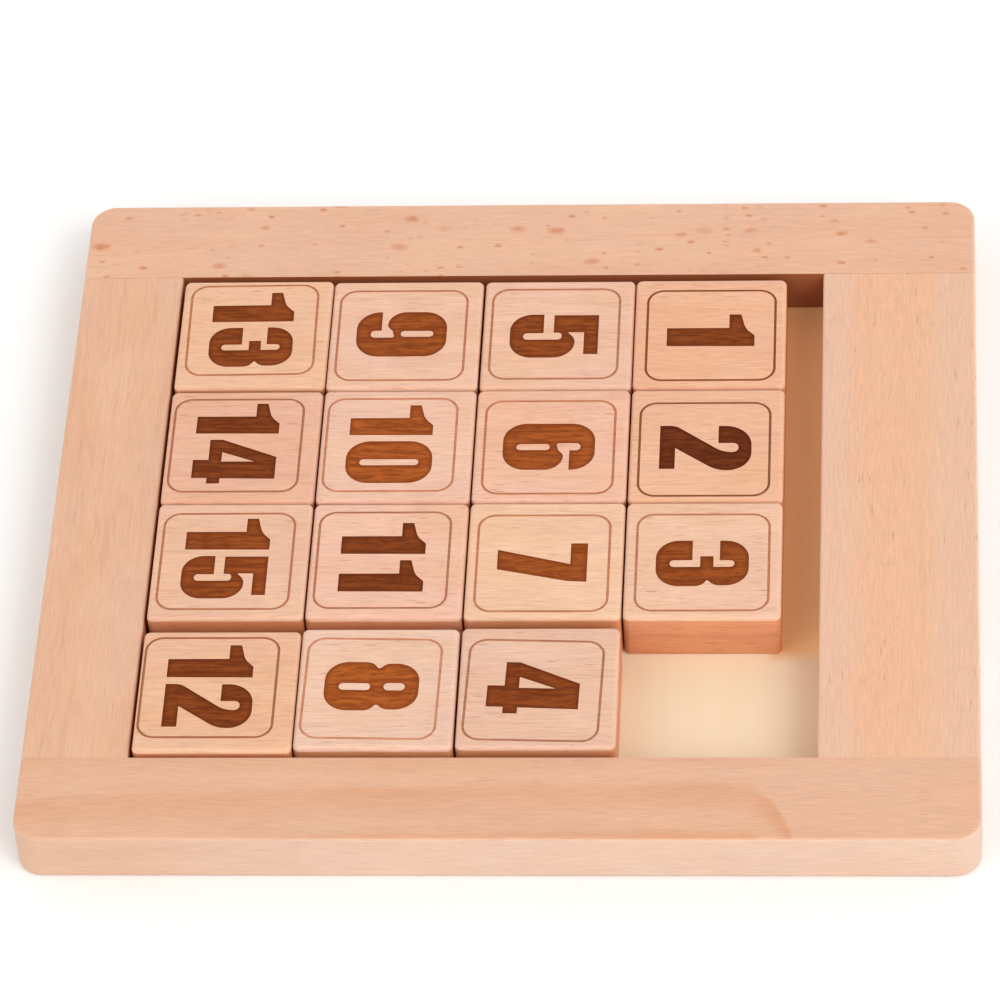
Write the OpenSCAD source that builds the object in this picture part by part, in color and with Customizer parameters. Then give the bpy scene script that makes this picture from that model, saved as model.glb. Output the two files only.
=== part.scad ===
// Sliding number puzzle: fifteen loose wooden tiles in a shallow open tray.
// X runs across the tray, Y from its foot to its header, and Z up. The origin is at
// the middle of the frame's outline, on the surface that the puzzle lies on.

/* [Tiles] */
// Side of a tile
tile_side = 29.7; // [28:0.1:29.8]
// Thickness of a tile
tile_t = 10.5; // [8:0.5:14]
// Distance between the centres of two neighbouring tiles
pitch = 30; // [30:0.1:31]
// Radius of a tile's upright corners
tile_corner_r = 1.2; // [1.2:0.1:4]
// Radius round a tile's top edges
tile_top_r = 1; // [0.5:0.1:1.2]
// Radius round a tile's bottom edges
tile_foot_r = 0.4; // [0.3:0.1:1.2]

/* [Tray] */
// Width of the tray beyond four tile pitches
spare_w = 5.5; // [4.8:0.1:12]
// Length of the tray beyond four tile pitches
spare_l = 7.5; // [5:0.1:12]
// How far the tiles stand above the frame
tile_proud = 1; // [0:0.5:3]

/* [Frame] */
// Width of the left rail
left_rail_w = 20.5; // [16:0.5:30]
// Width of the right rail
right_rail_w = 19.5; // [16:0.5:30]
// Width of the bottom rail
bottom_rail_w = 20; // [16:0.5:30]
// Width of the header rail
header_w = 30; // [24:1:45]
// Radius of the frame's outer upright corners
frame_corner_r = 5; // [3:0.5:12]
// Radius round the frame's outer top edge
frame_top_r = 0.8; // [0.5:0.1:2]
// Radius round the frame's outer bottom edge
frame_foot_r = 1; // [0.5:0.1:2]

/* [Base panel] */
// Thickness of the base panel
panel_t = 1.5; // [1:0.5:3]
// How far the panel's rebate reaches under each rail
rebate_w = 6; // [4:0.5:8]
// Space between the panel's edge and the side of its rebate
panel_gap = 0.2; // [0:0.05:0.5]

/* [Dowels] */
// Diameter of the glue dowels
dowel_d = 4; // [3:0.5:5]
// Length of a dowel
dowel_l = 20; // [12:1:24]
// Chamfer at the ends of a dowel
dowel_chamfer = 0.5; // [0.2:0.1:1]
// Empty length of the hole past each end of a dowel
dowel_end_gap = 0.5; // [0:0.1:1]
// Distance between the two dowels at an end of the bottom rail
bottom_dowel_spacing = 9; // [7:0.5:10]
// Distance between the two dowels at an end of the header rail
header_dowel_spacing = 16; // [10:1:18]

/* [Stored position] */
// Space between the left rail and the first column of tiles
left_gap = 2.3; // [0.6:0.1:2.8]
// Space between the bottom rail and the lowest row of tiles
bottom_gap = 0.6; // [0.4:0.1:4]
// Extra space between the third and the fourth column
last_column_gap = 1.9; // [0:0.1:1.9]

/* [Hidden] */
$fn = 64;
tile_count = 15;

// The numbers from the header's row down to the bottom row; 0 is the empty cell.
LAYOUT = [
    [1, 2, 3, 0],
    [5, 6, 7, 4],
    [9, 10, 11, 8],
    [13, 14, 15, 12],
];
cells = len(LAYOUT);

// Tiles that lie a little off their cells: number, shift in X, shift in Y.
STRAYS = [
    [12, 0.8, 0],
    [13, -0.4, 0.1],
    [8, 0.1, -0.1],
    [5, 0, 0.1],
];

tray_w = cells * pitch + spare_w;
tray_l = cells * pitch + spare_l;
frame_w = left_rail_w + tray_w + right_rail_w;
frame_l = bottom_rail_w + tray_l + header_w;
frame_t = panel_t + tile_t - tile_proud;

// The frame is centred on the origin, so the tray sits off its middle.
frame_left = -frame_w / 2;
frame_foot = -frame_l / 2;
tray_left = frame_left + left_rail_w;
tray_right = tray_left + tray_w;
tray_foot = frame_foot + bottom_rail_w;
tray_head = tray_foot + tray_l;
bottom_rail_mid = tray_foot - bottom_rail_w / 2;
header_mid = tray_head + header_w / 2;

function tile_node(n) = str(n < 10 ? "tile_0" : "tile_", n);

// The column and the row, from the left rail and from the header, that hold a number.
function cell_of(n) = [
    for (row = [0:cells - 1])
        for (column = [0:cells - 1])
            if (LAYOUT[row][column] == n) [column, row]
][0];

// How far a tile lies off its cell: zero for a tile that isn't in STRAYS.
function stray_of(n) = concat([for (s = STRAYS) if (s[0] == n) [s[1], s[2]]], [[0, 0]])[0];

function column_x(column) = tray_left + left_gap + tile_side / 2 + column * pitch
    + (column == cells - 1 ? last_column_gap : 0);
function row_y(row) = tray_foot + bottom_gap + tile_side / 2 + (cells - 1 - row) * pitch;
function tile_centre(n) = let (cell = cell_of(n)) [column_x(cell[0]), row_y(cell[1])] + stray_of(n);

// Half of a plate's cross-section, from its middle out to a side rounded at top and foot.
module half_section(reach, thickness, top_r, foot_r) {
    intersection() {
        square([reach, thickness]);
        union() {
            translate([0, foot_r]) square([reach, thickness - foot_r - top_r]);
            square([reach - foot_r, thickness / 2]);
            translate([0, thickness / 2]) square([reach - top_r, thickness / 2]);
            translate([reach - foot_r, foot_r]) circle(foot_r);
            translate([reach - top_r, thickness - top_r]) circle(top_r);
        }
    }
}

// A bar along X with both of its long sides rounded at top and foot.
module rounded_bar(length, width, thickness, top_r, foot_r) {
    rotate([90, 0, 90]) linear_extrude(length, center = true) {
        half_section(width / 2, thickness, top_r, foot_r);
        mirror([1, 0]) half_section(width / 2, thickness, top_r, foot_r);
    }
}

// A plate standing on Z 0 with round upright corners and rounded top and foot edges.
module rounded_plate(size_x, size_y, thickness, corner_r, top_r, foot_r) {
    rounded_bar(size_x - 2 * corner_r, size_y, thickness, top_r, foot_r);
    rotate([0, 0, 90]) rounded_bar(size_y - 2 * corner_r, size_x, thickness, top_r, foot_r);
    for (x = [-1, 1], y = [-1, 1])
        translate([x * (size_x / 2 - corner_r), y * (size_y / 2 - corner_r)])
            rotate_extrude() half_section(corner_r, thickness, top_r, foot_r);
}

// The space that the base panel is let into, with the given clearance round its edge.
module panel_space(clearance) {
    inset = rebate_w - clearance;
    translate([tray_left - inset, tray_foot - inset, 0])
        cube([tray_w + 2 * inset, tray_l + 2 * inset, panel_t]);
}

// A cylinder along X, centred on a joint between a long rail and a cross rail.
module joint_pin(x, y, length, chamfer) {
    translate([x, y, frame_t / 2]) rotate([0, 90, 0]) rotate_extrude() polygon([
        [0, -length / 2],
        [dowel_d / 2 - chamfer, -length / 2],
        [dowel_d / 2, chamfer - length / 2],
        [dowel_d / 2, length / 2 - chamfer],
        [dowel_d / 2 - chamfer, length / 2],
        [0, length / 2],
    ]);
}

module dowel_pair(x, mid_y, spacing) {
    color("burlywood")
        for (y = [-spacing / 2, spacing / 2])
            joint_pin(x, mid_y + y, dowel_l, dowel_chamfer);
}

module dowel_holes() {
    for (x = [tray_left, tray_right]) {
        for (y = [-bottom_dowel_spacing / 2, bottom_dowel_spacing / 2])
            translate([x, bottom_rail_mid + y, frame_t / 2]) dowel_hole();
        for (y = [-header_dowel_spacing / 2, header_dowel_spacing / 2])
            translate([x, header_mid + y, frame_t / 2]) dowel_hole();
    }
}

module dowel_hole() {
    rotate([0, 90, 0]) cylinder(h = dowel_l + 2 * dowel_end_gap, d = dowel_d, center = true);
}

// One rail, cut from the frame's outline between two opposite corners of its plan.
module rail(low, high) {
    color("#e9bd95") difference() {
        intersection() {
            rounded_plate(frame_w, frame_l, frame_t, frame_corner_r, frame_top_r, frame_foot_r);
            translate([low[0], low[1], 0]) cube([high[0] - low[0], high[1] - low[1], frame_t]);
        }
        panel_space(0);
        dowel_holes();
    }
}

module left_rail() {
    rail([frame_left, frame_foot], [tray_left, -frame_foot]);
}

module right_rail() {
    rail([tray_right, frame_foot], [-frame_left, -frame_foot]);
}

module bottom_rail() {
    rail([tray_left, frame_foot], [tray_right, tray_foot]);
}

module header_rail() {
    rail([tray_left, tray_head], [tray_right, -frame_foot]);
}

module base_panel() {
    color("#f3dcb2") panel_space(panel_gap);
}

// A loose tile on the base panel, in its stored place.
module tile(n) {
    color(n % 3 == 0 ? "#f0cba4" : "#ecc4a2") translate(concat(tile_centre(n), panel_t))
        rounded_plate(tile_side, tile_side, tile_t, tile_corner_r, tile_top_r, tile_foot_r);
}

for (n = [1:tile_count])
    tile(n);
left_rail();
right_rail();
bottom_rail();
header_rail();
base_panel();
dowel_pair(tray_left, bottom_rail_mid, bottom_dowel_spacing);  // bottom_left_dowels
dowel_pair(tray_right, bottom_rail_mid, bottom_dowel_spacing);  // bottom_right_dowels
dowel_pair(tray_left, header_mid, header_dowel_spacing);  // header_left_dowels
dowel_pair(tray_right, header_mid, header_dowel_spacing);  // header_right_dowels
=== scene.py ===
from math import atan2, ceil, cos, hypot, pi, radians, sin, tan

import bmesh
import bpy
import numpy as np
from mathutils import Matrix, Vector
from mathutils.geometry import delaunay_2d_cdt


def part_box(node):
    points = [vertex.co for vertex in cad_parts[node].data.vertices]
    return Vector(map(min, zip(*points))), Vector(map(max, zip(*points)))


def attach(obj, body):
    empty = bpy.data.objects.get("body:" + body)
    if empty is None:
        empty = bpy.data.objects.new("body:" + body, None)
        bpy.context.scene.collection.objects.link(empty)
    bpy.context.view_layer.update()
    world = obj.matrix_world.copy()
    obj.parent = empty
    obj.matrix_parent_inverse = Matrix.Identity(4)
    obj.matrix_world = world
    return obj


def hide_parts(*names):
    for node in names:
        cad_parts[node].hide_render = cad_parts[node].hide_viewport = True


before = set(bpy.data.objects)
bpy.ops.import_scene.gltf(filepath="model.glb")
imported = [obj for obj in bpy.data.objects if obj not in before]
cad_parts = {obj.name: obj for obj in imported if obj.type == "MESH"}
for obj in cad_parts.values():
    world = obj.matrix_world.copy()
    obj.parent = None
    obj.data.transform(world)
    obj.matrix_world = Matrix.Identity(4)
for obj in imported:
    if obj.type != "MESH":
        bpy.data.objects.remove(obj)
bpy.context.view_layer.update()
MM = 0.001

# ---------------------------------------------------------------- sizes, in millimetres
TILE_TOP_R = 1.0
TILE_FOOT_R = 0.4
TILE_CORNER_R = 1.2
TILE_R_VARIES = 0.1
FRAME_CORNER_R = 5.0
FRAME_TOP_R = 0.8
FRAME_FOOT_R = 1.0
TRAY_ARRIS = 0.6
JOINT_ARRIS = 0.07
PANEL_ARRIS = 0.1
PANEL_GAP = 0.2
DOWEL_END_GAP = 0.5
BURN_DEPTH = 0.10
BURN_RIM = 1.1
LINE_W = 0.48
BORDER_W, BORDER_H, BORDER_R = 24.5, 25.1, 3.2
NUMERAL_H = 17.3
DIGIT_GAP = 1.6
ARC_CHORD = 0.45
BURN_GRID = 0.55

# Two digits on a tile are set a little smaller than one: their share of the width and of the height.
PAIR_SCALE = (0.92, 0.94)
# The most of a side that the arc at one of its ends may take.
ARC_SHARE = 0.98


# ---------------------------------------------------------------- plane outlines
def rounded(points):
    """A closed outline from (x, y, radius) corners, with each corner's arc cut into short chords."""
    outline = []
    for i, (x, y, radius) in enumerate(points):
        if radius <= 0:
            outline.append((x, y))
            continue
        before = Vector(points[i - 1][:2]) - Vector((x, y))
        after = Vector(points[(i + 1) % len(points)][:2]) - Vector((x, y))
        half = before.angle(after) / 2
        reach = min(radius / tan(half), ARC_SHARE * min(before.length, after.length))
        radius = reach * tan(half)
        start = Vector((x, y)) + before.normalized() * reach
        end = Vector((x, y)) + after.normalized() * reach
        middle_way = (before.normalized() + after.normalized()).normalized()
        centre = Vector((x, y)) + middle_way * radius / sin(half)
        first = atan2(start.y - centre.y, start.x - centre.x)
        turn = (atan2(end.y - centre.y, end.x - centre.x) - first + pi) % (2 * pi) - pi
        chords = max(3, ceil(abs(turn) * radius / ARC_CHORD))
        for k in range(chords + 1):
            a = first + turn * k / chords
            outline.append((centre.x + radius * cos(a), centre.y + radius * sin(a)))
    return outline


def slot_hole(x0, y0, x1, y1, radius):
    """A rectangle's corners, all with one radius."""
    return [(x0, y0, radius), (x1, y0, radius), (x1, y1, radius), (x0, y1, radius)]


# Heavy condensed digits: width, drop below the line, then outlines of (x, y, corner radius).
SIX_W = 12.2
SIX_H = 17.8
SIX = [
    [(0, 0, 4.5), (12.2, 0, 4.5), (12.2, 11.7, 3.6), (8.2, 11.7, 1.0), (7.0, 10.7, 0.2),
     (5.2, 10.3, 0.4), (5.2, 15.0, 0.8), (7.1, 15.0, 0.8), (7.1, 12.9, 0), (12.2, 12.9, 0),
     (12.2, 17.8, 4.6), (0, 17.8, 4.6)],
    slot_hole(5.4, 2.6, 7.0, 9.1, 0.78),
]
NUMERALS = {
    "0": (12.0, -0.3, [
        slot_hole(0, 0, 12.0, 17.8, 4.9),
        slot_hole(5.2, 2.8, 6.9, 15.0, 0.8),
    ]),
    "1": (8.7, 0, [
        [(3.7, 0, 0), (8.6, 0, 0), (8.7, 17.2, 0), (5.8, 17.2, 0), (3.9, 15.4, 4), (0, 14.5, 0),
         (0, 12.2, 0), (3.7, 12.2, 0)],
    ]),
    "2": (11.8, 0, [
        [(0, 0, 0), (11.4, 0, 0), (11.4, 3.0, 0), (5.9, 3.0, 0), (11.8, 11.0, 6), (11.8, 17.7, 4.6),
         (0.1, 17.7, 5), (0.1, 11.3, 0), (4.6, 11.3, 0), (4.6, 15.2, 1.1), (7.0, 15.2, 1.1),
         (7.0, 12.2, 5), (0, 3.0, 3)],
    ]),
    "3": (11.6, -0.2, [
        [(0, 6.9, 0), (0, 0, 4.4), (11.6, 0, 4.4), (11.6, 8.7, 2.4), (9.9, 9.8, 0.3),
         (11.4, 10.9, 2.4), (11.4, 17.6, 4.4), (0, 17.6, 4.4), (0, 12.1, 0), (5.0, 12.1, 0),
         (5.0, 14.9, 0.8), (6.7, 14.9, 0.8), (6.7, 10.9, 0.2), (4.0, 10.9, 0), (4.0, 8.4, 0),
         (6.7, 8.4, 0.2), (6.7, 2.6, 0.8), (5.0, 2.6, 0.8), (5.0, 6.9, 0)],
    ]),
    "4": (12.6, 0, [
        [(5.8, 0, 0), (11.0, 0, 0), (11.0, 3.2, 0), (12.6, 3.2, 0), (12.6, 5.9, 0), (11.1, 5.9, 0),
         (11.3, 17.2, 0), (5.0, 17.2, 0), (0, 5.8, 0), (0, 3.2, 0), (5.8, 3.2, 0)],
        [(3.6, 5.9, 0), (6.3, 5.9, 0), (6.3, 12.7, 0)],
    ]),
    "5": (11.8, -0.2, [
        [(0.2, 17.4, 0), (0.2, 8.6, 0), (5.0, 8.6, 0), (5.0, 10.2, 0.7), (6.9, 10.2, 0.8),
         (6.9, 2.6, 0.8), (5.1, 2.6, 0.8), (5.1, 6.6, 0), (0, 6.6, 0), (0, 0, 4.4),
         (11.8, 0, 4.4), (11.8, 12.8, 4.2), (6.6, 12.8, 2.6), (4.9, 11.4, 0), (4.9, 14.6, 0),
         (10.9, 14.6, 0), (10.9, 17.4, 0)],
    ]),
    "6": (SIX_W, -0.3, SIX),
    "7": (9.8, 0, [
        [(1.6, 0, 0), (6.6, 0, 0), (9.6, 13.4, 0), (9.8, 17.1, 0), (0, 17.1, 0), (0, 13.9, 0),
         (5.3, 13.9, 0)],
    ]),
    "8": (11.9, -0.2, [
        [(0, 0, 4.4), (11.9, 0, 4.4), (11.9, 9.0, 2.3), (9.9, 10.0, 0.5), (11.6, 11.0, 2.3),
         (11.6, 17.7, 4.3), (0.3, 17.7, 4.3), (0.3, 11.0, 2.3), (2.0, 10.0, 0.5), (0, 9.0, 2.3)],
        slot_hole(5.1, 11.1, 6.9, 15.1, 0.85),
        slot_hole(5.2, 2.7, 6.9, 8.6, 0.8),
    ]),
    "9": (SIX_W, -0.3, [[(SIX_W - x, SIX_H - y, r) for x, y, r in outline] for outline in SIX]),
}


def number_outlines(number):
    """The outlines of a number's digits, centred on the origin."""
    digits = str(number)
    scale_x, scale_y = PAIR_SCALE if len(digits) == 2 else (1, 1)
    outlines = []
    x = 0
    for digit in digits:
        width, drop, shapes = NUMERALS[digit]
        for shape in shapes:
            outlines.append([(x + px * scale_x, (py + drop) * scale_y) for px, py in rounded(shape)])
        x += width * scale_x + DIGIT_GAP
    middle_x = (x - DIGIT_GAP) / 2
    middle_y = NUMERAL_H * scale_y / 2
    return [[(px - middle_x, py - middle_y) for px, py in outline] for outline in outlines]


def border_outline(grow):
    """The border's middle line, moved outward by grow."""
    w, h, r = BORDER_W / 2 + grow, BORDER_H / 2 + grow, BORDER_R + grow
    return rounded(slot_hole(-w, -h, w, h, r))


def placed(outline, dx, dy, turn):
    """The outline turned by an angle in degrees, then moved."""
    c, s = cos(radians(turn)), sin(radians(turn))
    return [(x * c - y * s + dx, x * s + y * c + dy) for x, y in outline]


def inside(points, outlines):
    """Which points are inside an odd number of the outlines."""
    odd = np.zeros(len(points), bool)
    for outline in outlines:
        a = np.array(outline)
        b = np.roll(a, -1, axis=0)
        px, py = points[:, :1], points[:, 1:]
        spans = (a[:, 1] > py) != (b[:, 1] > py)
        rise = np.where(b[:, 1] == a[:, 1], 1, b[:, 1] - a[:, 1])
        crossing = a[:, 0] + (py - a[:, 1]) * (b[:, 0] - a[:, 0]) / rise
        odd ^= (spans & (px < crossing)).sum(axis=1) % 2 == 1
    return odd


def distance_to(points, outlines):
    """Each point's distance to the nearest of the outlines."""
    nearest = np.full(len(points), np.inf)
    for outline in outlines:
        starts = np.array(outline)
        ways = np.roll(starts, -1, axis=0) - starts
        for start, way in zip(starts, ways):
            share = np.clip((points - start) @ way / max(way @ way, 1e-9), 0, 1)
            gap = points - start - share[:, None] * way
            nearest = np.minimum(nearest, np.linalg.norm(gap, axis=1))
    return nearest


def points_inside(outlines):
    """A grid of points inside the outlines, kept a little off them."""
    corners = np.concatenate([np.array(outline) for outline in outlines])
    x, y = (np.arange(low, high, BURN_GRID) for low, high in zip(corners.min(axis=0), corners.max(axis=0)))
    grid = np.stack(np.meshgrid(x, y), axis=-1).reshape(-1, 2)
    grid = grid[inside(grid, outlines)]
    return grid[distance_to(grid, outlines) > 0.4 * BURN_GRID]


# ---------------------------------------------------------------- shader nodes
# Sockets of a colour Mix node, which has one set of inputs for each kind of data.
MIX_FACTOR, MIX_A, MIX_B, MIX_RESULT = 0, 6, 7, 2


class Paint:
    """A material's node tree, with a short call for each kind of node that the woods use."""

    def __init__(self, name):
        self.material = bpy.data.materials.new(name)
        self.material.use_nodes = True
        self.tree = self.material.node_tree
        self.tree.nodes.clear()

    def node(self, kind, inputs=(), **settings):
        made = self.tree.nodes.new("ShaderNode" + kind)
        for key, value in settings.items():
            setattr(made, key, value)
        for key, value in dict(inputs).items():
            self.feed(made.inputs[key], value)
        return made

    def feed(self, socket, value):
        if isinstance(value, bpy.types.NodeSocket):
            self.tree.links.new(value, socket)
        else:
            socket.default_value = value

    def math(self, operation, a, b=0.0, clamp=False):
        return self.node("Math", {0: a, 1: b}, operation=operation, use_clamp=clamp).outputs[0]

    def add(self, a, b):
        return self.math("ADD", a, b)

    def subtract(self, a, b):
        return self.math("SUBTRACT", a, b)

    def times(self, a, b):
        return self.math("MULTIPLY", a, b)

    def larger(self, a, b):
        return self.math("MAXIMUM", a, b)

    def position(self):
        """The object's own x, y and z, in metres."""
        return self.node("SeparateXYZ", {0: self.node("TexCoord").outputs["Object"]}).outputs

    def mm_past(self, coordinate, place_mm):
        """How many millimetres a coordinate in metres lies past a place."""
        return self.math("DIVIDE", self.subtract(coordinate, place_mm * MM), MM)

    def vector(self, operation, a, b):
        return self.node("VectorMath", {0: a, 1: b}, operation=operation).outputs[0]

    def ramp(self, value, low, high, out_low=0.0, out_high=1.0):
        """value taken from low..high to out_low..out_high, smoothly, and held outside."""
        inputs = {"Value": value, "From Min": low, "From Max": high, "To Min": out_low, "To Max": out_high}
        return self.node("MapRange", inputs, interpolation_type="SMOOTHSTEP").outputs[0]

    def noise(self, at, scale, detail=2.0, rough=0.5):
        """Noise with a number of waves per unit along each axis of at."""
        inputs = {"Vector": self.vector("MULTIPLY", at, scale), "Scale": 1.0, "Detail": detail,
                  "Roughness": rough}
        return self.node("TexNoise", inputs).outputs["Fac"]

    def cells(self, at, scale):
        """Distance to the nearest of scattered points, and a random colour for each point."""
        inputs = {"Vector": self.vector("MULTIPLY", at, scale), "Scale": 1.0}
        made = self.node("TexVoronoi", inputs)
        return made.outputs["Distance"], made.outputs["Color"]

    def mix(self, factor, a, b):
        made = self.node("Mix", data_type="RGBA")
        for index, value in ((MIX_FACTOR, factor), (MIX_A, a), (MIX_B, b)):
            self.feed(made.inputs[index], value)
        return made.outputs[MIX_RESULT]

    def finish(self, colour, roughness, height, bump_mm, specular):
        bump = self.node("Bump", {"Height": height, "Distance": bump_mm * MM, "Strength": 1.0})
        inputs = {"Base Color": colour, "Roughness": roughness, "Normal": bump.outputs[0],
                  "Specular IOR Level": specular}
        shader = self.node("BsdfPrincipled", inputs)
        self.node("OutputMaterial", {"Surface": shader.outputs[0]})
        return self.material


def grey(value):
    return (value, value, value, 1)


def scaled(tone, factors):
    """A tone times a factor for red, green and blue, as a colour socket takes it."""
    return tuple(c * k for c, k in zip(tone, factors)) + (1,)


def grain_space(paint, grain_axis, seed, curve_mm=0.8):
    """Object coordinates in millimetres, turned so that X runs along the grain, with a gentle wander."""
    place = paint.node("TexCoord").outputs["Object"]
    turn = (0, 0, 0) if grain_axis == "X" else (0, 0, radians(-90))
    shift = (37.0 * sin(seed * 1.7), 53.0 * cos(seed * 2.3), 29.0 * sin(seed * 3.1))
    inputs = {"Vector": place, "Rotation": turn, "Scale": (1 / MM,) * 3, "Location": shift}
    at = paint.node("Mapping", inputs).outputs[0]
    slow = paint.vector("MULTIPLY", at, (0.018, 0.05, 0.05))
    wander = paint.node("TexNoise", {"Vector": slow, "Scale": 1.0, "Detail": 1.0}).outputs["Color"]
    centred = paint.vector("SUBTRACT", wander, (0.5,) * 3)
    push = paint.vector("MULTIPLY", centred, (0, 4 * curve_mm, 4 * curve_mm))
    return paint.vector("ADD", at, push)


# Factors on a wood's tone, for red, green and blue.
# The deeper orange of upright sides inside the tray: partly their own tone and partly painted shade.
SIDE_TONE_AND_SHADE = (0.90, 0.62, 0.43)
PALE_WOOD = (1.03, 1.04, 1.03)
DEEP_WOOD = (0.95, 0.87, 0.78)
ROSY_WOOD = (0.97, 0.98, 1.12)
LATE_WOOD = (0.94, 0.80, 0.68)
WARM_HEART = (1.02, 0.94, 0.84)
COOL_FLANK = (0.96, 1.00, 1.05)
DARK_STREAK = (0.86, 0.74, 0.66)
DARK_PORE = (0.60, 0.38, 0.30)
RAY_FLECK = (0.80, 0.52, 0.36)
# Painted light on the frame's outer sides, at their foot end and toward the header.
PAINTED_LIGHT_FOOT = (0.88, 0.97, 1.02)
PAINTED_LIGHT_HEAD = (0.95, 1.14, 1.32)

# The frame's outer sides carry painted light: it changes from the first factors to the second between these
# two places along Y, in mm, growing paler toward the header.
PAINTED_LIGHT_FROM = -80
PAINTED_LIGHT_TO = -15
RING_MM = 11.7
WOOD_SPECULAR = 0.35
BURN_SPECULAR = 0.06
WOOD_BUMP_MM = 0.03
PLY_BUMP_MM = 0.012


def broad_tones(paint, at, tone, blotch, rosy):
    """The slow changes of the wood from pale to deep, and to pink."""
    broad = paint.noise(at, (0.010, 0.14, 0.14), 2.5)
    cloud = paint.noise(at, (0.05, 0.07, 0.07), 2.0)
    deep = paint.ramp(paint.add(paint.times(broad, 0.55), paint.times(cloud, 0.45)), 0.40, 0.60)
    colour = paint.mix(paint.times(deep, blotch), scaled(tone, PALE_WOOD), scaled(tone, DEEP_WOOD))
    elsewhere = paint.vector("ADD", at, (91.0, 17.0, 5.0))
    pink = paint.ramp(paint.noise(elsewhere, (0.03, 0.10, 0.10), 2.0), 0.42, 0.62)
    return paint.mix(paint.times(pink, rosy), colour, scaled(tone, ROSY_WOOD))


def growth_ring(paint, at, reach, level):
    """A dark ring that arches over the place where reach and level are both 0 mm.

    Past that place it falls off steeply, and before it the ring runs long and low and fades away.
    """
    steep = paint.larger(paint.times(reach, 0.38), 0.0)
    gentle = paint.larger(paint.times(reach, -0.014), 0.0)
    flank = paint.add(paint.math("POWER", steep, 2.0), paint.math("POWER", gentle, 2.0))
    wobble = paint.times(paint.noise(at, (0.035, 0.10, 0.10), 3.0), 5.0)
    level = paint.add(paint.subtract(level, flank), wobble)
    turn = paint.math("FRACT", paint.math("DIVIDE", level, RING_MM))
    ring = paint.times(paint.ramp(turn, 0.0, 0.20), paint.ramp(turn, 0.20, 0.85, 1.0, 0.0))
    under = paint.larger(paint.ramp(level, -1.0, 0.0), paint.ramp(reach, 0.0, 5.0, 1.0, 0.0))
    patchy = paint.ramp(paint.noise(at, (0.02, 0.05, 0.05), 1.0), 0.35, 0.6, 0.5, 1.0)
    fade = paint.times(paint.ramp(reach, -40.0, -4.0, 0.7, 1.0), patchy)
    return paint.times(paint.times(ring, under), fade)


def heart_band(paint, at, off_middle, half_width, tone, colour):
    """A warmer band along the grain with ragged edges, and paler wood on both sides of it."""
    ragged = paint.times(paint.noise(at, (0.06, 0.16, 0.16), 4.0, 0.6), 8.0)
    away = paint.add(paint.math("ABSOLUTE", off_middle), ragged)
    middle = paint.ramp(away, half_width + 0.5, half_width + 7.0, 1.0, 0.0)
    colour = paint.mix(paint.times(middle, 0.8), colour, scaled(tone, WARM_HEART))
    flank = paint.mix(0.5, colour, scaled(tone, COOL_FLANK))
    return paint.mix(paint.subtract(1.0, middle), colour, flank)


def pore_dashes(paint, at):
    """Short dark dashes along the grain in two sizes, crowded in some places and sparse in others."""
    pore = 0.0
    for shift, size, weight in (((0, 0, 0), (0.14, 1.7, 1.7), 1.0),
                                ((11.0, 7.3, 3.1), (0.30, 3.1, 3.1), 0.7)):
        near, own = paint.cells(paint.vector("ADD", at, shift), size)
        strength = paint.ramp(paint.node("SeparateColor", {0: own}).outputs[0], 0.30, 0.95)
        dash = paint.times(paint.ramp(near, 0.08, 0.24, weight, 0.0), strength)
        pore = paint.add(pore, dash)
    patch = paint.ramp(paint.noise(at, (0.03, 0.12, 0.12), 1.0), 0.40, 0.60, 0.3, 1.0)
    return paint.math("MULTIPLY", pore, patch, clamp=True)


def ray_flecks(paint, at):
    """Scattered lens-shaped flecks in two sizes, where the wood's rays meet the surface."""
    spotted = 0.0
    for shift, size in (((3.0, 17.0, 9.0), (0.28, 0.50, 0.50)), ((29.0, 5.0, 2.0), (0.13, 0.24, 0.24))):
        far, own = paint.cells(paint.vector("ADD", at, shift), size)
        chance, breadth, _ = paint.node("SeparateColor", {0: own}).outputs
        ragged = paint.add(far, paint.times(paint.noise(at, (1.0, 1.9, 1.9), 2.0), 0.22))
        limit = paint.ramp(breadth, 0.1, 1.0, 0.18, 0.32)
        lens = paint.ramp(paint.subtract(ragged, limit), -0.10, 0.12, 1.0, 0.0)
        spotted = paint.larger(spotted, paint.times(lens, paint.ramp(chance, 0.25, 0.7)))
    return spotted


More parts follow.
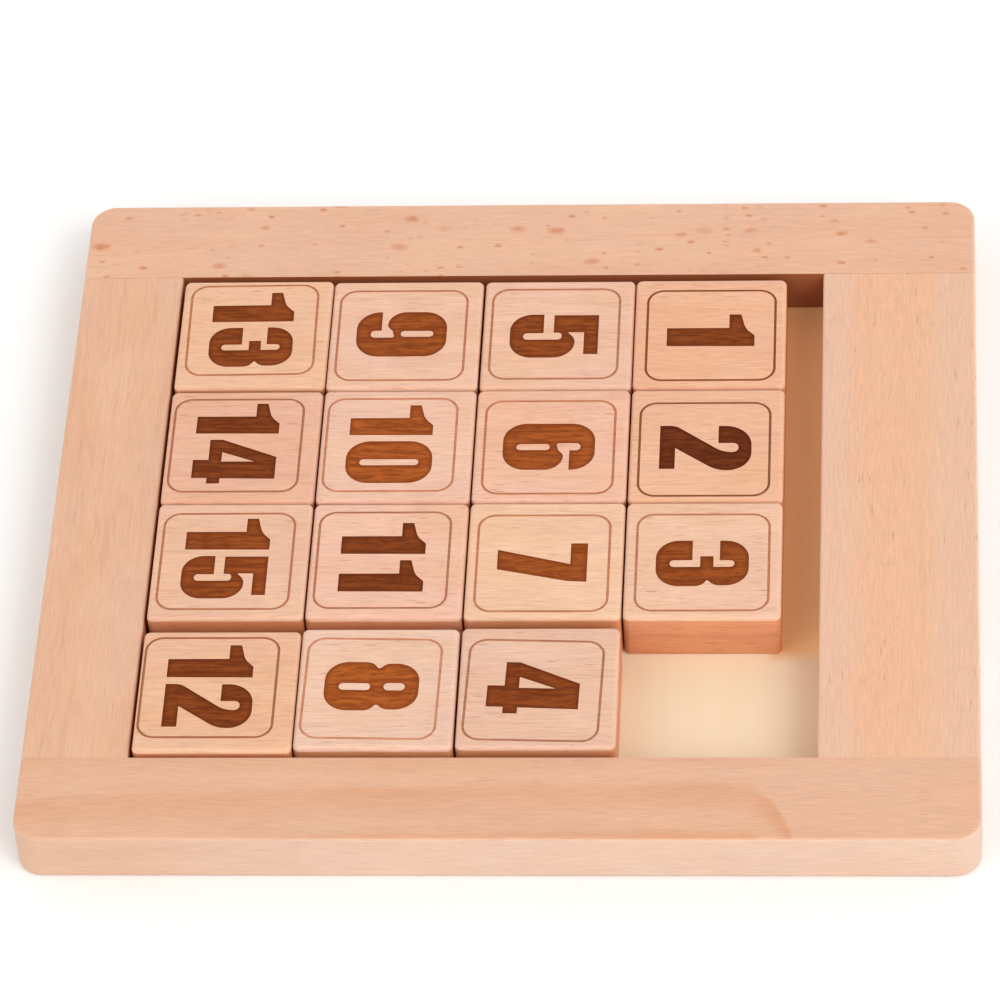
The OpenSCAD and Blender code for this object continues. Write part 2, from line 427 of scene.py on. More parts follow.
def beech(name, tone, grain_axis, seed, blotch=0.5, rosy=0.4, streaks=0.5, fibre=1.0, pores=0.5,
          flecks=0.0, figure=0.0, arch=(0, 0), heart=None, edge=False, outer=False):
    """Sanded beech: broad tone, an arched ring, streaks, fibre, dark pores, and ray flecks.

    figure is the strength of the ring, and arch the place along and across the grain that it arches over.
    heart is the middle and the half width of a warmer band along the grain. With edge, the wood is the
    deeper orange of an upright side inside the tray, partly the side's own tone and partly painted shade.
    With outer, the frame's outer sides carry painted light that grows paler toward the header.
    """
    paint = Paint(name)
    at = grain_space(paint, grain_axis, seed)
    x, y, _ = paint.position()
    along, across = (x, y) if grain_axis == "X" else (y, x)
    if edge:
        # Partly the side's own deeper tone and partly painted shade.
        tone = scaled(tone, SIDE_TONE_AND_SHADE)[:3]

    colour = broad_tones(paint, at, tone, blotch, rosy)
    if figure:
        ring = growth_ring(paint, at, paint.mm_past(along, arch[0]), paint.mm_past(across, arch[1]))
        colour = paint.mix(paint.times(ring, figure), colour, scaled(tone, LATE_WOOD))
    if heart:
        middle, half_width = heart
        colour = heart_band(paint, at, paint.mm_past(across, middle), half_width, tone, colour)
    if outer:
        # Painted light on the outer sides, paler toward the header.
        toward_head = paint.ramp(y, PAINTED_LIGHT_FROM * MM, PAINTED_LIGHT_TO * MM)
        gain = paint.mix(toward_head, (*PAINTED_LIGHT_FOOT, 1), (*PAINTED_LIGHT_HEAD, 1))
        colour = paint.vector("MULTIPLY", colour, gain)

    streak = paint.ramp(paint.noise(at, (0.035, 0.75, 0.75), 3.0, 0.6), 0.54, 0.72)
    colour = paint.mix(paint.times(streak, 0.5 * streaks), colour, scaled(tone, DARK_STREAK))
    grain = paint.noise(at, (0.20, 4.6, 4.6), 4.0, 0.65)
    shade = paint.ramp(grain, 0.28, 0.72, 1 - 0.075 * fibre, 1 + 0.035 * fibre)
    shades = paint.node("CombineXYZ", {0: shade, 1: shade, 2: shade}).outputs[0]
    colour = paint.vector("MULTIPLY", colour, shades)
    pore = pore_dashes(paint, at)
    colour = paint.mix(paint.times(pore, 0.8 * pores), colour, scaled(tone, DARK_PORE))
    if flecks:
        colour = paint.mix(paint.times(ray_flecks(paint, at), flecks), colour, scaled(tone, RAY_FLECK))

    height = paint.subtract(paint.times(grain, 0.5), paint.times(pore, 0.8))
    roughness = paint.ramp(grain, 0.2, 0.8, 0.46, 0.6)
    return paint.finish(colour, roughness, height, WOOD_BUMP_MM, WOOD_SPECULAR)


def burnt(name, tone, grain_axis, seed, mottle=1.0):
    """Wood scorched by a laser: brown, mottled along the grain, darker along its outline, and matt."""
    paint = Paint(name)
    at = grain_space(paint, grain_axis, seed)
    long = paint.noise(at, (0.10, 1.2, 1.2), 3.0, 0.6)
    spots = paint.noise(at, (0.35, 1.9, 1.9), 3.0, 0.65)
    heat = paint.ramp(paint.add(paint.times(long, 0.5), paint.times(spots, 0.5)), 0.40, 0.60)
    dark = scaled(tone, (1 - 0.24 * mottle, 1 - 0.30 * mottle, 1 - 0.30 * mottle))
    light = scaled(tone, (1 + 0.32 * mottle, 1 + 0.38 * mottle, 1 + 0.36 * mottle))
    colour = paint.mix(heat, dark, light)
    middle = paint.node("Attribute", attribute_name="burn_middle").outputs["Fac"]
    rim = paint.times(paint.ramp(middle, 0.0, 1.0, 1.0, 0.0), 0.85 * mottle)
    colour = paint.mix(rim, colour, scaled(tone, (0.78, 0.66, 0.60)))
    scan = paint.noise(at, (0.3, 6.0, 6.0), 2.0)
    height = paint.add(scan, paint.times(long, 0.5))
    roughness = paint.ramp(scan, 0.2, 0.8, 0.62, 0.78)
    return paint.finish(colour, roughness, height, WOOD_BUMP_MM, BURN_SPECULAR)


# ---------------------------------------------------------------- meshes
def make_object(name, vertices, faces, face_slots, materials, loop_normals=None):
    """A linked object from lists, smooth where its corners' normals are given."""
    mesh = bpy.data.meshes.new(name)
    mesh.from_pydata(vertices, [], faces)
    for material in materials:
        mesh.materials.append(material)
    mesh.polygons.foreach_set("material_index", face_slots)
    mesh.update()
    if loop_normals is not None:
        for polygon in mesh.polygons:
            polygon.use_smooth = True
        mesh.normals_split_custom_set(loop_normals)
    piece = bpy.data.objects.new(name, mesh)
    bpy.context.scene.collection.objects.link(piece)
    return piece


# The plan's corners, counter-clockwise, and the number of chords in each kind of quarter round.
CORNER_SIGNS = ((1, 1), (-1, 1), (-1, -1), (1, -1))
TILE_CORNER_STEPS = 8
TILE_TOP_STEPS = 7
TILE_FOOT_STEPS = 5
FRAME_CORNER_STEPS = 14
FRAME_EDGE_STEPS = 6


class Block:
    """A square block with round upright corners and rounded edges, seen in plan from its middle."""

    def __init__(self, side, corner_r, top_r, foot_r, thickness):
        self.half = side / 2
        self.corner_r = corner_r
        self.top_r = top_r
        self.foot_r = foot_r
        self.thickness = thickness

    def ring(self, inset):
        """The plan outline at an inset, as (x, y, outward x, outward y)."""
        core = self.half - self.corner_r
        points = []
        for corner, (sx, sy) in enumerate(CORNER_SIGNS):
            for k in range(TILE_CORNER_STEPS + 1):
                a = pi / 2 * (corner + k / TILE_CORNER_STEPS)
                r = self.corner_r - inset
                points.append((sx * core + r * cos(a), sy * core + r * sin(a), cos(a), sin(a)))
        return points

    def surface(self, x, y):
        """Height of the top at a plan point, and its normal."""
        core = self.half - self.corner_r
        qx, qy = abs(x) - core, abs(y) - core
        if qx > 0 and qy > 0:
            away = hypot(qx, qy)
            inset = self.corner_r - away
            ox, oy = qx / away, qy / away
        elif qx > qy:
            inset, ox, oy = self.corner_r - qx, 1, 0
        else:
            inset, ox, oy = self.corner_r - qy, 0, 1
        flat = (self.top_r - min(max(inset, 0), self.top_r)) / self.top_r
        up = (1 - flat * flat) ** 0.5
        normal = (ox * flat * (1 if x > 0 else -1), oy * flat * (1 if y > 0 else -1), up)
        return self.thickness - self.top_r * (1 - up), normal


TOP_SLOT, NUMERAL_SLOT, LINE_SLOT, SIDE_SLOT = range(4)


def cut_plan(rings, marks, inner_points):
    """The plan of a tile's top, cut along its rings and marks.

    Gives the points, the triangles, and which points the outermost ring's became.
    """
    loops = [[p[:2] for p in ring] for ring in rings] + marks
    points = [Vector(p) for p in inner_points]
    loose = len(points)
    edges = []
    for loop in loops:
        first = len(points)
        points += [Vector(p) for p in loop]
        edges += [(first + k, first + (k + 1) % len(loop)) for k in range(len(loop))]
    plan, _, triangles, origin, _, _ = delaunay_2d_cdt(points, edges, [], 0, 1e-5)
    rim = [None] * len(rings[0])
    for index, sources in enumerate(origin):
        for source in sources:
            if loose <= source < loose + len(rim):
                rim[source - loose] = index
    return plan, triangles, rim


class TileMesh:
    """The lists of a tile's mesh, in millimetres from the middle of its foot."""

    def __init__(self, block, plan):
        self.block = block
        self.vertices = []
        self.normals = []
        for p in plan:
            z, normal = block.surface(p.x, p.y)
            self.vertices.append((p.x, p.y, z))
            self.normals.append(normal)
        self.floor_of = {}
        self.faces = []
        self.slots = []
        self.loop_normals = []

    def add(self, face, slot, normals):
        self.faces.append(face)
        self.slots.append(slot)
        self.loop_normals += normals

    def floor(self, v):
        """The copy of a top vertex on the floor of a mark, made when it is first asked for."""
        if v not in self.floor_of:
            self.floor_of[v] = len(self.vertices)
            place = zip(self.vertices[v], self.normals[v])
            self.vertices.append(tuple(c - n * BURN_DEPTH for c, n in place))
        return self.floor_of[v]

    def add_top(self, triangles, in_figure, in_line):
        """The top's triangles, sunk inside the marks, with a wall along each mark's outline."""
        sunk = in_figure | in_line
        owner = {}
        for t, triangle in enumerate(triangles):
            for k in range(3):
                owner[(triangle[k], triangle[(k + 1) % 3])] = t
        for t, triangle in enumerate(triangles):
            normals = [self.normals[v] for v in triangle]
            if not sunk[t]:
                self.add(list(triangle), TOP_SLOT, normals)
                continue
            slot = NUMERAL_SLOT if in_figure[t] else LINE_SLOT
            self.add([self.floor(v) for v in triangle], slot, normals)
            for k in range(3):
                a, b = triangle[k], triangle[(k + 1) % 3]
                other = owner.get((b, a))
                if other is None or sunk[other]:
                    continue
                (ax, ay, _), (bx, by, _) = self.vertices[a], self.vertices[b]
                across = Vector((by - ay, ax - bx, 0)).normalized()
                self.add([a, b, self.floor(b), self.floor(a)], slot, [(-across.x, -across.y, 0)] * 4)

    def add_sides(self, rim, outward):
        """Rings going down from the rim of the top, round the foot's edge, and the flat foot."""
        foot_r = self.block.foot_r
        below = [(0.0, foot_r, 0.0)]
        for k in range(1, TILE_FOOT_STEPS + 1):
            a = pi / 2 * k / TILE_FOOT_STEPS
            below.append((foot_r * (1 - cos(a)), foot_r * (1 - sin(a)), -sin(a)))
        count = len(rim)
        upper, upper_up = rim, 0.0
        for inset, z, up in below:
            lower = list(range(len(self.vertices), len(self.vertices) + count))
            self.vertices += [(p[0], p[1], z) for p in self.block.ring(inset)]
            flat = (1 - up * up) ** 0.5
            upper_flat = (1 - upper_up * upper_up) ** 0.5
            for k in range(count):
                j = (k + 1) % count
                (kx, ky), (jx, jy) = outward[k], outward[j]
                normals = [
                    (kx * upper_flat, ky * upper_flat, upper_up),
                    (kx * flat, ky * flat, up),
                    (jx * flat, jy * flat, up),
                    (jx * upper_flat, jy * upper_flat, upper_up),
                ]
                self.add([upper[k], lower[k], lower[j], upper[j]], SIDE_SLOT, normals)
            upper, upper_up = lower, up
        self.add(upper[::-1], SIDE_SLOT, [(0, 0, -1)] * count)


def build_tile(name, number, block, centre, foot_z, mark, materials):
    """A tile whose top has the number and a border line sunk into it."""
    dx, dy, number_dx, turn = mark
    figures = [placed([(x + number_dx, y) for x, y in o], dx, dy, turn) for o in number_outlines(number)]
    line = [placed(border_outline(g), dx, dy, turn) for g in (LINE_W / 2, -LINE_W / 2)]
    insets = [block.top_r * (1 - cos(pi / 2 * k / TILE_TOP_STEPS)) for k in range(TILE_TOP_STEPS + 1)]
    rings = [block.ring(inset) for inset in insets]
    plan, triangles, rim = cut_plan(rings, figures + line, points_inside(figures))
    middles = np.array([[sum(plan[v][a] for v in t) / 3 for a in (0, 1)] for t in triangles])

    shape = TileMesh(block, plan)
    shape.add_top(triangles, inside(middles, figures), inside(middles, line))
    shape.add_sides(rim, [p[2:] for p in rings[0]])
    moved = [(x * MM + centre[0], y * MM + centre[1], z * MM + foot_z) for x, y, z in shape.vertices]
    tile = make_object(name, moved, shape.faces, shape.slots, materials, shape.loop_normals)
    in_plan = np.array([v[:2] for v in shape.vertices])
    depth = np.minimum(distance_to(in_plan, figures) / BURN_RIM, 1)
    tile.data.attributes.new("burn_middle", "FLOAT", "POINT").data.foreach_set("value", depth)
    return tile


def frame_plate(width, length, thickness):
    """A plate with the frame's plan outline and rounded edges, standing on Z 0, as a bmesh."""
    plate = bmesh.new()

    def ring(inset, z):
        made = []
        r = FRAME_CORNER_R - inset
        for corner, (sx, sy) in enumerate(CORNER_SIGNS):
            for k in range(FRAME_CORNER_STEPS + 1):
                a = pi / 2 * (corner + k / FRAME_CORNER_STEPS)
                x = sx * (width / 2 - FRAME_CORNER_R) + r * cos(a)
                y = sy * (length / 2 - FRAME_CORNER_R) + r * sin(a)
                made.append(plate.verts.new((x * MM, y * MM, z * MM)))
        return made

    angles = [pi / 2 * k / FRAME_EDGE_STEPS for k in range(FRAME_EDGE_STEPS + 1)]
    levels = [(FRAME_FOOT_R * (1 - sin(a)), FRAME_FOOT_R * (1 - cos(a))) for a in angles]
    levels += [(FRAME_TOP_R * (1 - cos(a)), thickness - FRAME_TOP_R * (1 - sin(a))) for a in angles]
    rings = [ring(inset, z) for inset, z in levels]
    for low, high in zip(rings, rings[1:]):
        for k in range(len(low)):
            j = (k + 1) % len(low)
            plate.faces.new((low[k], low[j], high[j], high[k]))
    plate.faces.new(rings[0][::-1])
    plate.faces.new(rings[-1])
    return plate


def cut(solid, plane_point, plane_normal):
    """Keeps the side of the plane that the normal points away from, and closes the cut."""
    geometry = solid.verts[:] + solid.edges[:] + solid.faces[:]
    result = bmesh.ops.bisect_plane(solid, geom=geometry, plane_co=plane_point, plane_no=plane_normal,
                                    clear_outer=True, dist=1e-7)
    rim = [g for g in result["geom_cut"] if isinstance(g, bmesh.types.BMEdge)]
    bmesh.ops.contextual_create(solid, geom=rim)


def soften(solid, wanted, width, segments):
    """Rounds over the sharp edges for which wanted(middle) is true."""
    edges = []
    for edge in solid.edges:
        a, b = (v.co for v in edge.verts)
        if len(edge.link_faces) == 2 and edge.calc_face_angle(0) > radians(60) and wanted((a + b) / 2):
            edges.append(edge)
    bmesh.ops.bevel(solid, geom=edges, offset=width * MM, segments=segments, profile=0.5, affect="EDGES",
                    clamp_overlap=True)


def box_solid(low, high):
    """A box from its lowest to its highest corner."""
    solid = bmesh.new()
    bmesh.ops.create_cube(solid, size=1)
    for v in solid.verts:
        for axis in range(3):
            v.co[axis] = (low[axis] + high[axis]) / 2 + v.co[axis] * (high[axis] - low[axis])
    return solid


def pin_solid(low, high):
    """A cylinder along X that fills the box from low to high."""
    solid = bmesh.new()
    radius = (high[2] - low[2]) / 2
    bmesh.ops.create_cone(solid, cap_ends=True, segments=32, radius1=radius, radius2=radius,
                          depth=high[0] - low[0])
    middle = Matrix.Translation([(a + b) / 2 for a, b in zip(low, high)])
    bmesh.ops.transform(solid, matrix=middle @ Matrix.Rotation(pi / 2, 4, "Y"), verts=solid.verts)
    return solid


def as_object(name, solid):
    """A linked object from a bmesh, which is freed."""
    mesh = bpy.data.meshes.new(name)
    solid.to_mesh(mesh)
    solid.free()
    piece = bpy.data.objects.new(name, mesh)
    bpy.context.scene.collection.objects.link(piece)
    return piece


def settle(piece):
    """Applies the piece's modifiers to its mesh."""
    depsgraph = bpy.context.evaluated_depsgraph_get()
    mesh = bpy.data.meshes.new_from_object(piece.evaluated_get(depsgraph))
    piece.modifiers.clear()
    old = piece.data
    piece.data = mesh
    bpy.data.meshes.remove(old)
    mesh.name = piece.name


def carve(piece, cutters):
    """Takes the cutters out of the piece."""
    for index, cutter in enumerate(cutters):
        tool = as_object(f"{piece.name}_cutter{index}", cutter)
        step = piece.modifiers.new("carve", "BOOLEAN")
        step.operation = "DIFFERENCE"
        step.solver = "EXACT"
        step.object = tool
        settle(piece)
        bpy.data.objects.remove(tool)


def smooth_edges(piece):
    """Smooth shading between sharp edges, with the normals held by the large faces."""
    solid = bmesh.new()
    solid.from_mesh(piece.data)
    bmesh.ops.dissolve_degenerate(solid, dist=1e-7, edges=solid.edges)
    for face in solid.faces:
        face.smooth = True
    for edge in solid.edges:
        edge.smooth = len(edge.link_faces) == 2 and edge.calc_face_angle(0) < radians(32)
    solid.to_mesh(piece.data)
    solid.free()
    weighted = piece.modifiers.new("weighted", "WEIGHTED_NORMAL")
    weighted.keep_sharp = True
    weighted.weight = 90
    settle(piece)


# ---------------------------------------------------------------- places, from the frame
def lo_hi(node):
    """A node's box in the frame, in millimetres."""
    low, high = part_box(node)
    return np.array(low) / MM, np.array(high) / MM


left_low, left_high = lo_hi("left_rail")
right_low, right_high = lo_hi("right_rail")
bottom_high = lo_hi("bottom_rail")[1]
header_low = lo_hi("header_rail")[0]
panel_low, panel_high = lo_hi("base_panel")
FRAME_W = right_high[0] - left_low[0]
FRAME_L = left_high[1] - left_low[1]
FRAME_T = left_high[2]
TRAY_L, TRAY_R = left_high[0], right_low[0]
TRAY_FOOT, TRAY_HEAD = bottom_high[1], header_low[1]
NEAR = 0.05 * MM

# ---------------------------------------------------------------- tiles
# Where the laser put each border, its number within it, and its turn in degrees: mm off the middle.
MARKS = {
    1: (0.7, 0.2, -1.3, 0.0),
    2: (1.4, -0.4, -0.3, 0.0),
    3: (0.8, -0.1, 0.3, 0.0),
    4: (0.9, -0.8, -0.5, -1.5),
    5: (0.1, -0.6, 0.6, 0.0),
    6: (0.7, -0.4, -0.1, 0.0),
    7: (0.9, -0.4, -0.1, 0.0),
    8: (0.3, -1.0, -0.5, -1.0),
    9: (0.3, -0.7, -0.3, 0.0),
    10: (-0.1, -1.2, -0.2, 0.0),
    11: (0.0, -0.9, -0.7, 0.0),
    12: (-0.7, -1.6, -0.2, 0.0),
    13: (-1.0, -0.5, -0.1, 0.7),
    14: (-0.1, -1.2, -0.5, 0.0),
    15: (0.2, -0.8, -0.7, 0.0),
}
# The colour of each tile's wood.
TILE_TONES = {
    1: (0.70, 0.38, 0.24),
    2: (0.70, 0.39, 0.245),
    3: (0.71, 0.44, 0.31),
    4: (0.67, 0.42, 0.305),
    5: (0.70, 0.425, 0.30),
    6: (0.71, 0.41, 0.285),
    7: (0.72, 0.45, 0.30),
    8: (0.70, 0.46, 0.34),
    9: (0.70, 0.425, 0.305),
    10: (0.70, 0.43, 0.31),
    11: (0.71, 0.42, 0.30),
    12: (0.69, 0.40, 0.255),
    13: (0.70, 0.41, 0.26),
    14: (0.67, 0.37, 0.25),
    15: (0.69, 0.415, 0.285),
}
# How light each numeral is burnt, from the deep tone at 0 to the light one at 1.
DEEP_BURN = (0.11, 0.021, 0.004)
LIGHT_BURN = (0.29, 0.068, 0.012)
BURN_LIGHTNESS = {1: 0.35, 2: 0.0, 3: 0.6, 4: 0.35, 5: 0.5, 6: 0.85, 7: 0.75, 8: 1.0, 9: 0.7, 10: 0.95,
                  11: 0.25, 12: 0.3, 13: 0.45, 14: 0.25, 15: 0.55}
# How strongly each border line is burnt, from faint to clear, and how much warmer than the numeral.
LINE_BURNS = {1: 0.9, 2: 0.8, 3: 0.6, 4: 0.6, 5: 0.6, 6: 0.6, 7: 0.6, 8: 0.5, 9: 0.6, 10: 0.55,
              11: 0.6, 12: 0.7, 13: 0.55, 14: 0.6, 15: 0.6}
LINE_WARMTH = (1.06, 0.88, 0.74)

for number, mark in MARKS.items():
    node = f"tile_{number:02d}"
    low, high = lo_hi(node)
    vary = sin(number * 2.4)
    corner_r = TILE_CORNER_R + TILE_R_VARIES * vary
    top_r = TILE_TOP_R + TILE_R_VARIES * sin(number * 4.1)
    block = Block(high[0] - low[0], corner_r, top_r, TILE_FOOT_R, high[2] - low[2])

    tone = TILE_TONES[number]
    wood = beech(f"tile_wood_{number:02d}", tone, "Y", seed=number, pores=1.05 + 0.2 * vary,
                 streaks=0.75, fibre=2.2, blotch=0.5, rosy=0.35)
    # The sides' deeper orange is partly painted shade of the gaps between tiles.
    sides = beech(f"tile_side_{number:02d}", tone, "Y", seed=number + 0.5, pores=1.2, streaks=1.1,
                  fibre=1.6, edge=True)
    burn = [deep + (light - deep) * BURN_LIGHTNESS[number] for deep, light in zip(DEEP_BURN, LIGHT_BURN)]
    scorch = burnt(f"tile_numeral_{number:02d}", burn, "Y", seed=number)
    line_tone = [(t + (b - t) * LINE_BURNS[number]) * w for t, b, w in zip(tone, burn, LINE_WARMTH)]
    line = burnt(f"tile_line_{number:02d}", line_tone, "Y", seed=number, mottle=0.4)

    centre = ((low[0] + high[0]) / 2 * MM, (low[1] + high[1]) / 2 * MM)
    tile = build_tile(f"numbered_{node}", number, block, centre, low[2] * MM, mark,
                      [wood, scorch, line, sides])
    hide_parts(node)
    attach(tile, node)


# ---------------------------------------------------------------- frame
DOWEL_NODES = ("bottom_left_dowels", "bottom_right_dowels", "header_left_dowels", "header_right_dowels")
# A rail's top and foot have its first wood, and its upright faces one of these.
WALL_WOOD = 1
OUTER_WOOD = 2
UPRIGHT_BELOW = 0.7


def rail_cutters(node):
    """The base panel's space, and the holes for the dowels that reach into the rail."""
    low = [(panel_low[0] - PANEL_GAP) * MM, (panel_low[1] - PANEL_GAP) * MM, -1 * MM]
    high = [(panel_high[0] + PANEL_GAP) * MM, (panel_high[1] + PANEL_GAP) * MM, panel_high[2] * MM]
    cutters = [box_solid(low, high)]
    rail_low, rail_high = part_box(node)
    for dowels in DOWEL_NODES:
        low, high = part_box(dowels)
        if high.x < rail_low.x or low.x > rail_high.x or low.y > rail_high.y or high.y < rail_low.y:
            continue
        radius = (high.z - low.z) / 2
        x_low = low.x - DOWEL_END_GAP * MM
        x_high = high.x + DOWEL_END_GAP * MM
        for y in (low.y + radius, high.y - radius):
            cutters.append(pin_solid((x_low, y - radius, low.z), (x_high, y + radius, high.z)))
    return cutters


def in_tray(point):
    """Whether a point in millimetres is within the tray's opening or on its walls."""
    return TRAY_L - 0.1 < point.x < TRAY_R + 0.1 and TRAY_FOOT - 0.1 < point.y < TRAY_HEAD + 0.1


def on_top(middle):
    return abs(middle.z - FRAME_T * MM) < NEAR


def frame_rail(node, planes, inner_edge, joint_edge, materials):
    """A rail cut from the frame's plate, with its edges eased, and with its rebate and dowel holes."""
    solid = frame_plate(FRAME_W, FRAME_L, FRAME_T)
    for point, normal in planes:
        cut(solid, point, normal)
    bmesh.ops.recalc_face_normals(solid, faces=solid.faces)
    soften(solid, lambda middle: on_top(middle) and inner_edge(middle), TRAY_ARRIS, 4)
    if joint_edge:
        soften(solid, lambda middle: on_top(middle) and joint_edge(middle), JOINT_ARRIS, 1)
    piece = as_object(f"{node}_wood", solid)
    carve(piece, rail_cutters(node))
    smooth_edges(piece)

    piece.data.materials.clear()
    for wood in materials:
        piece.data.materials.append(wood)
    for face in piece.data.polygons:
        if abs(face.normal.z) < UPRIGHT_BELOW:
            face.material_index = WALL_WOOD if in_tray(face.center / MM) else OUTER_WOOD
    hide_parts(node)
    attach(piece, "root")


def at_x(x):
    return lambda middle: abs(middle.x - x * MM) < NEAR


def at_y(y):
    return lambda middle: abs(middle.y - y * MM) < NEAR


def either(*tests):
    return lambda middle: any(test(middle) for test in tests)


RAIL_WOODS = {
    "left_rail": dict(tone=(0.66, 0.385, 0.26), grain_axis="Y", seed=31, streaks=0.4, pores=0.35,
                      flecks=0.95, blotch=0.45, rosy=0.3, fibre=1.5),
    "right_rail": dict(tone=(0.635, 0.366, 0.242), grain_axis="Y", seed=47, streaks=0.35, pores=0.35,
                       figure=1.0, arch=(45.0, 70.8), blotch=0.4, rosy=0.25, fibre=1.5),
    "bottom_rail": dict(tone=(0.65, 0.38, 0.25), grain_axis="X", seed=53, streaks=0.8, pores=0.5,
                        blotch=0.5, rosy=0.35, fibre=1.5),
    "header_rail": dict(tone=(0.68, 0.41, 0.28), grain_axis="X", seed=67, streaks=0.3, pores=0.95,
                        heart=(72.8, 8.0), blotch=0.2, rosy=0.2, fibre=1.5),
}
# What shows on a rail's top only.
TOP_FEATURES = ("figure", "arch", "flecks", "heart")
# Factors on a wall's tone: the tray's wall along the left rail is darker than the others, as painted shade.
WALL_PAINTED_SHADE = {"left_rail": (0.48, 0.38, 0.30)}

# Where each rail is cut off the frame's plate: a point on the plane, and the way to the waste.
LEFT_OF_TRAY = (TRAY_L * MM, 0, 0)
RIGHT_OF_TRAY = (TRAY_R * MM, 0, 0)
CROSS_ENDS = [(LEFT_OF_TRAY, (-1, 0, 0)), (RIGHT_OF_TRAY, (1, 0, 0))]
PLANES = {
    "left_rail": [(LEFT_OF_TRAY, (1, 0, 0))],
    "right_rail": [(RIGHT_OF_TRAY, (-1, 0, 0))],
    "bottom_rail": [*CROSS_ENDS, ((0, TRAY_FOOT * MM, 0), (0, 1, 0))],
    "header_rail": [*CROSS_ENDS, ((0, TRAY_HEAD * MM, 0), (0, -1, 0))],
}
TRAY_EDGES = {
    "left_rail": at_x(TRAY_L),
    "right_rail": at_x(TRAY_R),
    "bottom_rail": at_y(TRAY_FOOT),
    "header_rail": at_y(TRAY_HEAD),
}
CROSS_JOINTS = either(at_x(TRAY_L), at_x(TRAY_R))
JOINT_EDGES = {"bottom_rail": CROSS_JOINTS, "header_rail": CROSS_JOINTS}

for rail, wood in RAIL_WOODS.items():
    plain = {key: value for key, value in wood.items() if key not in TOP_FEATURES}
    # The left rail's wall gets its painted shade here.
    wall = {**plain, "tone": scaled(wood["tone"], WALL_PAINTED_SHADE.get(rail, (1, 1, 1)))[:3]}
    woods = [
        beech(f"{rail}_beech", **wood),
        # The tray's walls: deeper orange, partly painted shade.
        beech(f"{rail}_wall_beech", **wall, edge=True),
        # The outer sides: painted light, paler toward the header.
        beech(f"{rail}_side_beech", **plain, outer=True),
    ]
    frame_rail(rail, PLANES[rail], TRAY_EDGES[rail], JOINT_EDGES.get(rail), woods)


# ---------------------------------------------------------------- base panel
# All in millimetres but the strength: the middle ply, the lowest part of the upper face, how far the
# painted shade reaches from a wall, and the strip of painted shade along the header with the fades at its
# side and its end.
PLY_FROM = 0.5
PLY_TO = 1.0
UPPER_FACE = 1.3
WALL_SHADE_REACH = 5.0
WALL_SHADE_STRENGTH = 0.55
STRIP_W = 8.0
STRIP_SIDE_FADE = 2.5
STRIP_END = 28.0
STRIP_END_FADE = 5.0


def plywood(name):
    """Pale rotary-cut birch with the three plies on its edges.

    Its upper face has painted shade along three of the tray's walls, and a strip of painted shade along the
    header, tinted orange like bounced light and lighter toward the header's wall.
    """
    paint = Paint(name)
    at = grain_space(paint, "X", 5, curve_mm=2.0)
    tone = (0.86, 0.69, 0.49)
    broad = paint.ramp(paint.noise(at, (0.01, 0.05, 0.05), 2.0), 0.35, 0.65)
    colour = paint.mix(paint.times(broad, 0.4), (*tone, 1), scaled(tone, (0.98, 0.93, 0.88)))
    wave = paint.ramp(paint.noise(at, (0.015, 0.30, 0.1), 3.0), 0.5, 0.75)
    colour = paint.mix(paint.times(wave, 0.15), colour, scaled(tone, (0.94, 0.86, 0.80)))

    x, y, z = paint.position()
    upper = paint.math("GREATER_THAN", z, UPPER_FACE * MM)
    # Painted shade on the upper face along three of the tray's walls.
    wall_shade = 0.0
    for place, wall, inward in ((x, TRAY_R, -WALL_SHADE_REACH), (x, TRAY_L, WALL_SHADE_REACH), (y, TRAY_FOOT, WALL_SHADE_REACH)):
        along_wall = paint.ramp(place, wall * MM, (wall + inward) * MM, WALL_SHADE_STRENGTH, 0.0)
        wall_shade = paint.larger(wall_shade, along_wall)
    colour = paint.mix(paint.times(wall_shade, upper), colour, scaled(tone, (0.99, 0.90, 0.76)))
    # A strip of painted shade along the header, tinted orange like light bounced off the wood, lighter
    # toward the header's wall.
    strip_side = TRAY_HEAD - STRIP_W
    strip = paint.times(paint.ramp(y, (strip_side - STRIP_SIDE_FADE) * MM, strip_side * MM),
                        paint.ramp(x, STRIP_END * MM, (STRIP_END + STRIP_END_FADE) * MM, 1.0, 0.0))
    toward_wall = paint.ramp(y, (TRAY_HEAD - 7) * MM, TRAY_HEAD * MM)
    strip_tone = paint.mix(toward_wall, scaled(tone, (0.93, 0.61, 0.37)), scaled(tone, (1.15, 0.94, 0.64)))
    colour = paint.mix(paint.times(strip, upper), colour, strip_tone)

    core = paint.times(paint.math("GREATER_THAN", z, PLY_FROM * MM), paint.math("LESS_THAN", z, PLY_TO * MM))
    colour = paint.mix(paint.times(core, 0.6), colour, (0.42, 0.25, 0.14, 1))
    fibre = paint.noise(at, (0.25, 4.0, 4.0), 3.0)
    roughness = paint.ramp(fibre, 0.2, 0.8, 0.5, 0.62)
    return paint.finish(colour, roughness, fibre, PLY_BUMP_MM, WOOD_SPECULAR)


low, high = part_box("base_panel")
solid = box_solid(low, high)
soften(solid, lambda middle: True, PANEL_ARRIS, 2)
panel = as_object("base_panel_plywood", solid)
smooth_edges(panel)
panel.data.materials.append(plywood("panel_plywood"))
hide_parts("base_panel")
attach(panel, "root")


